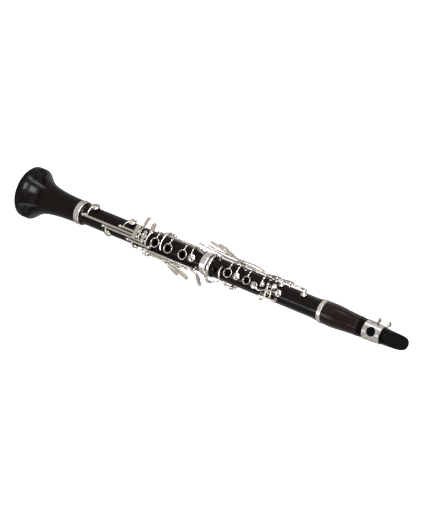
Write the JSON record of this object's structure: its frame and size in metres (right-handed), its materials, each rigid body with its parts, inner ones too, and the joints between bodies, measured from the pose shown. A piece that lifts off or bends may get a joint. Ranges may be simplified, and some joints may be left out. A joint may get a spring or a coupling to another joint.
{
  "type": "clarinet",
  "caption": "Soprano clarinet with a flared bell, ringed tenon joints, silver-plated Boehm keywork that pivots on post-mounted rods, tuning barrel, mouthpiece, reed and ligature.",
  "frame": {"origin": "centre of the bell's rim plane, on which the clarinet stands", "axes": "+Z along the bore towards the mouthpiece, -Y out of the front where the finger holes are, +X towards the player's left"},
  "size_m": [0.0788, 0.0788, 0.6725],
  "materials": {
    "blackwood": "oiled and polished grenadilla",
    "barrel_wood": "oiled grenadilla with a brown cast",
    "cork": "greased sheet cork",
    "ebonite": "polished hard rubber",
    "cane": "scraped cane",
    "pad_skin": "skin-covered felt pad",
    "blued_steel": "blued spring steel",
    "steel": "polished steel rod",
    "silver_plate": "polished silver plate"
  },
  "bodies": {
    "instrument_body": {"bell": "blackwood", "bell_ring": "silver_plate", "hinge_rods": "steel", "lower_joint": "blackwood", "needle_springs": "blued_steel", "posts": "silver_plate", "register_tube": "silver_plate", "socket_ring": "silver_plate", "tenon_corks": "cork", "tenon_ring": "silver_plate", "thumb_rest": "silver_plate", "thumb_rest_screws": "silver_plate", "thumb_tube": "silver_plate", "upper_joint": "blackwood"},
    "barrel": {"barrel": "barrel_wood", "barrel_ring": "silver_plate"},
    "mouthpiece": {"mouthpiece": "ebonite", "mouthpiece_cork": "cork", "reed": "cane", "ligature": "silver_plate"},
    "lower_ligature_screw": {"lower_ligature_screw": "silver_plate"},
    "upper_ligature_screw": {"upper_ligature_screw": "silver_plate"},
    "low_e_key": {"low_e_key": "silver_plate", "low_e_pad": "pad_skin"},
    "low_f_key": {"low_f_key": "silver_plate", "low_f_pad": "pad_skin"},
    "low_f_sharp_key": {"low_f_sharp_key": "silver_plate", "low_f_sharp_pad": "pad_skin"},
    "low_g_sharp_key": {"low_g_sharp_key": "silver_plate", "low_g_sharp_pad": "pad_skin"},
    "right_ring_key": {"right_ring_key": "silver_plate", "right_ring_pad": "pad_skin"},
    "cross_b_key": {"cross_b_key": "silver_plate", "cross_b_pad": "pad_skin"},
    "low_e_lever": {"low_e_lever": "silver_plate"},
    "low_f_sharp_lever": {"low_f_sharp_lever": "silver_plate"},
    "low_f_lever": {"low_f_lever": "silver_plate"},
    "second_ring_key": {"second_ring_key": "silver_plate", "second_ring_pad": "pad_skin"},
    "first_ring_key": {"first_ring_key": "silver_plate", "first_ring_pad": "pad_skin"},
    "a_key": {"a_key": "silver_plate", "a_pad": "pad_skin"},
    "g_sharp_key": {"g_sharp_key": "silver_plate", "g_sharp_pad": "pad_skin"},
    "cross_e_flat_key": {"cross_e_flat_key": "silver_plate", "cross_e_flat_pad": "pad_skin"},
    "c_sharp_key": {"c_sharp_key": "silver_plate", "c_sharp_pad": "pad_skin"},
    "side_key_1": {"side_key_1": "silver_plate", "side_1_pad": "pad_skin"},
    "side_key_2": {"side_key_2": "silver_plate", "side_2_pad": "pad_skin"},
    "side_key_3": {"side_key_3": "silver_plate", "side_3_pad": "pad_skin"},
    "side_key_4": {"side_key_4": "silver_plate", "side_4_pad": "pad_skin"},
    "thumb_ring_key": {"thumb_ring_key": "silver_plate"},
    "register_key": {"register_key": "silver_plate", "register_pad": "pad_skin"}
  },
  "joints": [
    {"name": "barrel_slide", "type": "slide", "parent": "instrument_body", "child": "barrel", "axis": [0, 0, 1], "range_m": [0, 0.003]},
    {"name": "mouthpiece_turn", "type": "hinge", "parent": "barrel", "child": "mouthpiece", "pos_m": [0, 0, 0.6], "axis": [0, 0, 1], "range_deg": [-20, 20]},
    {"name": "lower_ligature_screw_turn", "type": "hinge", "parent": "mouthpiece", "child": "lower_ligature_screw", "pos_m": [0, 0.017, 0.6145], "axis": [1, 0, 0], "continuous": true},
    {"name": "upper_ligature_screw_turn", "type": "hinge", "parent": "mouthpiece", "child": "upper_ligature_screw", "pos_m": [0, 0.017, 0.631], "axis": [1, 0, 0], "continuous": true},
    {"name": "low_e_key_press", "type": "hinge", "parent": "instrument_body", "child": "low_e_key", "pos_m": [0, -0.0194, 0.16685], "axis": [0, 0, 1], "range_deg": [-9, 0]},
    {"name": "low_f_key_press", "type": "hinge", "parent": "instrument_body", "child": "low_f_key", "pos_m": [0.00436, -0.0189, 0.19245], "axis": [0, 0, 1], "range_deg": [-8, 0]},
    {"name": "low_f_sharp_key_press", "type": "hinge", "parent": "instrument_body", "child": "low_f_sharp_key", "pos_m": [-0.00469, -0.01882, 0.2082], "axis": [0, 0, 1], "range_deg": [-9, 0]},
    {"name": "low_g_sharp_key_press", "type": "hinge", "parent": "instrument_body", "child": "low_g_sharp_key", "pos_m": [0.00881, -0.01729, 0.22215], "axis": [0, 0, 1], "range_deg": [-8, 0]},
    {"name": "right_ring_key_press", "type": "hinge", "parent": "instrument_body", "child": "right_ring_key", "pos_m": [-0.01713, -0.00911, 0.2841], "axis": [0, 0, 1], "range_deg": [0, 5.5]},
    {"name": "cross_b_key_press", "type": "hinge", "parent": "instrument_body", "child": "cross_b_key", "pos_m": [-0.01929, -0.00203, 0.262], "axis": [0, 0, 1], "range_deg": [0, 7]},
    {"name": "low_e_lever_press", "type": "hinge", "parent": "instrument_body", "child": "low_e_lever", "pos_m": [0.01882, -0.00469, 0.2645], "axis": [0, 0, 1], "range_deg": [0, 9]},
    {"name": "low_f_sharp_lever_press", "type": "hinge", "parent": "instrument_body", "child": "low_f_sharp_lever", "pos_m": [0.0168, -0.0097, 0.2725], "axis": [0, 0, 1], "range_deg": [0, 9]},
    {"name": "low_f_lever_press", "type": "hinge", "parent": "instrument_body", "child": "low_f_lever", "pos_m": [0.01348, -0.01396, 0.27925], "axis": [0, 0, 1], "range_deg": [0, 8]},
    {"name": "second_ring_key_press", "type": "hinge", "parent": "instrument_body", "child": "second_ring_key", "pos_m": [-0.01708, -0.00833, 0.37895], "axis": [0, 0, 1], "range_deg": [0, 5.5]},
    {"name": "first_ring_key_press", "type": "hinge", "parent": "instrument_body", "child": "first_ring_key", "pos_m": [-0.01708, -0.00833, 0.42315], "axis": [0, 0, 1], "range_deg": [0, 5.5]},
    {"name": "a_key_press", "type": "hinge", "parent": "instrument_body", "child": "a_key", "pos_m": [0, -0.0194, 0.451], "axis": [1, 0, 0], "range_deg": [0, 7]},
    {"name": "g_sharp_key_press", "type": "hinge", "parent": "instrument_body", "child": "g_sharp_key", "pos_m": [0.0117, -0.01497, 0.45345], "axis": [0, 0, 1], "range_deg": [0, 6]},
    {"name": "cross_e_flat_key_press", "type": "hinge", "parent": "instrument_body", "child": "cross_e_flat_key", "pos_m": [0.01736, -0.00773, 0.385], "axis": [0, 0, 1], "range_deg": [-7, 0]},
    {"name": "c_sharp_key_press", "type": "hinge", "parent": "instrument_body", "child": "c_sharp_key", "pos_m": [0.01271, 0.01412, 0.3649], "axis": [0, 0, 1], "range_deg": [-7, 0]},
    {"name": "side_key_1_press", "type": "hinge", "parent": "instrument_body", "child": "side_key_1", "pos_m": [-0.01678, 0.00892, 0.39415], "axis": [0, 0, 1], "range_deg": [0, 7]},
    {"name": "side_key_2_press", "type": "hinge", "parent": "instrument_body", "child": "side_key_2", "pos_m": [-0.01678, 0.00892, 0.433], "axis": [0, 0, 1], "range_deg": [0, 7]},
    {"name": "side_key_3_press", "type": "hinge", "parent": "instrument_body", "child": "side_key_3", "pos_m": [-0.01859, -0.00395, 0.46425], "axis": [0, 0, 1], "range_deg": [-7, 0]},
    {"name": "side_key_4_press", "type": "hinge", "parent": "instrument_body", "child": "side_key_4", "pos_m": [-0.01859, -0.00395, 0.48835], "axis": [0, 0, 1], "range_deg": [-7, 0]},
    {"name": "thumb_ring_key_press", "type": "hinge", "parent": "instrument_body", "child": "thumb_ring_key", "pos_m": [-0.0117, 0.01497, 0.414], "axis": [0, 0, 1], "range_deg": [-5.5, 0]},
    {"name": "register_key_press", "type": "hinge", "parent": "instrument_body", "child": "register_key", "pos_m": [0, 0.0194, 0.451], "axis": [1, 0, 0], "range_deg": [-7, 0]}
  ],
  "couplings": [
    {"joint": "low_e_lever_press", "follows": "low_e_key_press", "ratio": -1},
    {"joint": "low_f_sharp_lever_press", "follows": "low_f_sharp_key_press", "ratio": -1},
    {"joint": "low_f_lever_press", "follows": "low_f_key_press", "ratio": -1}
  ]
}
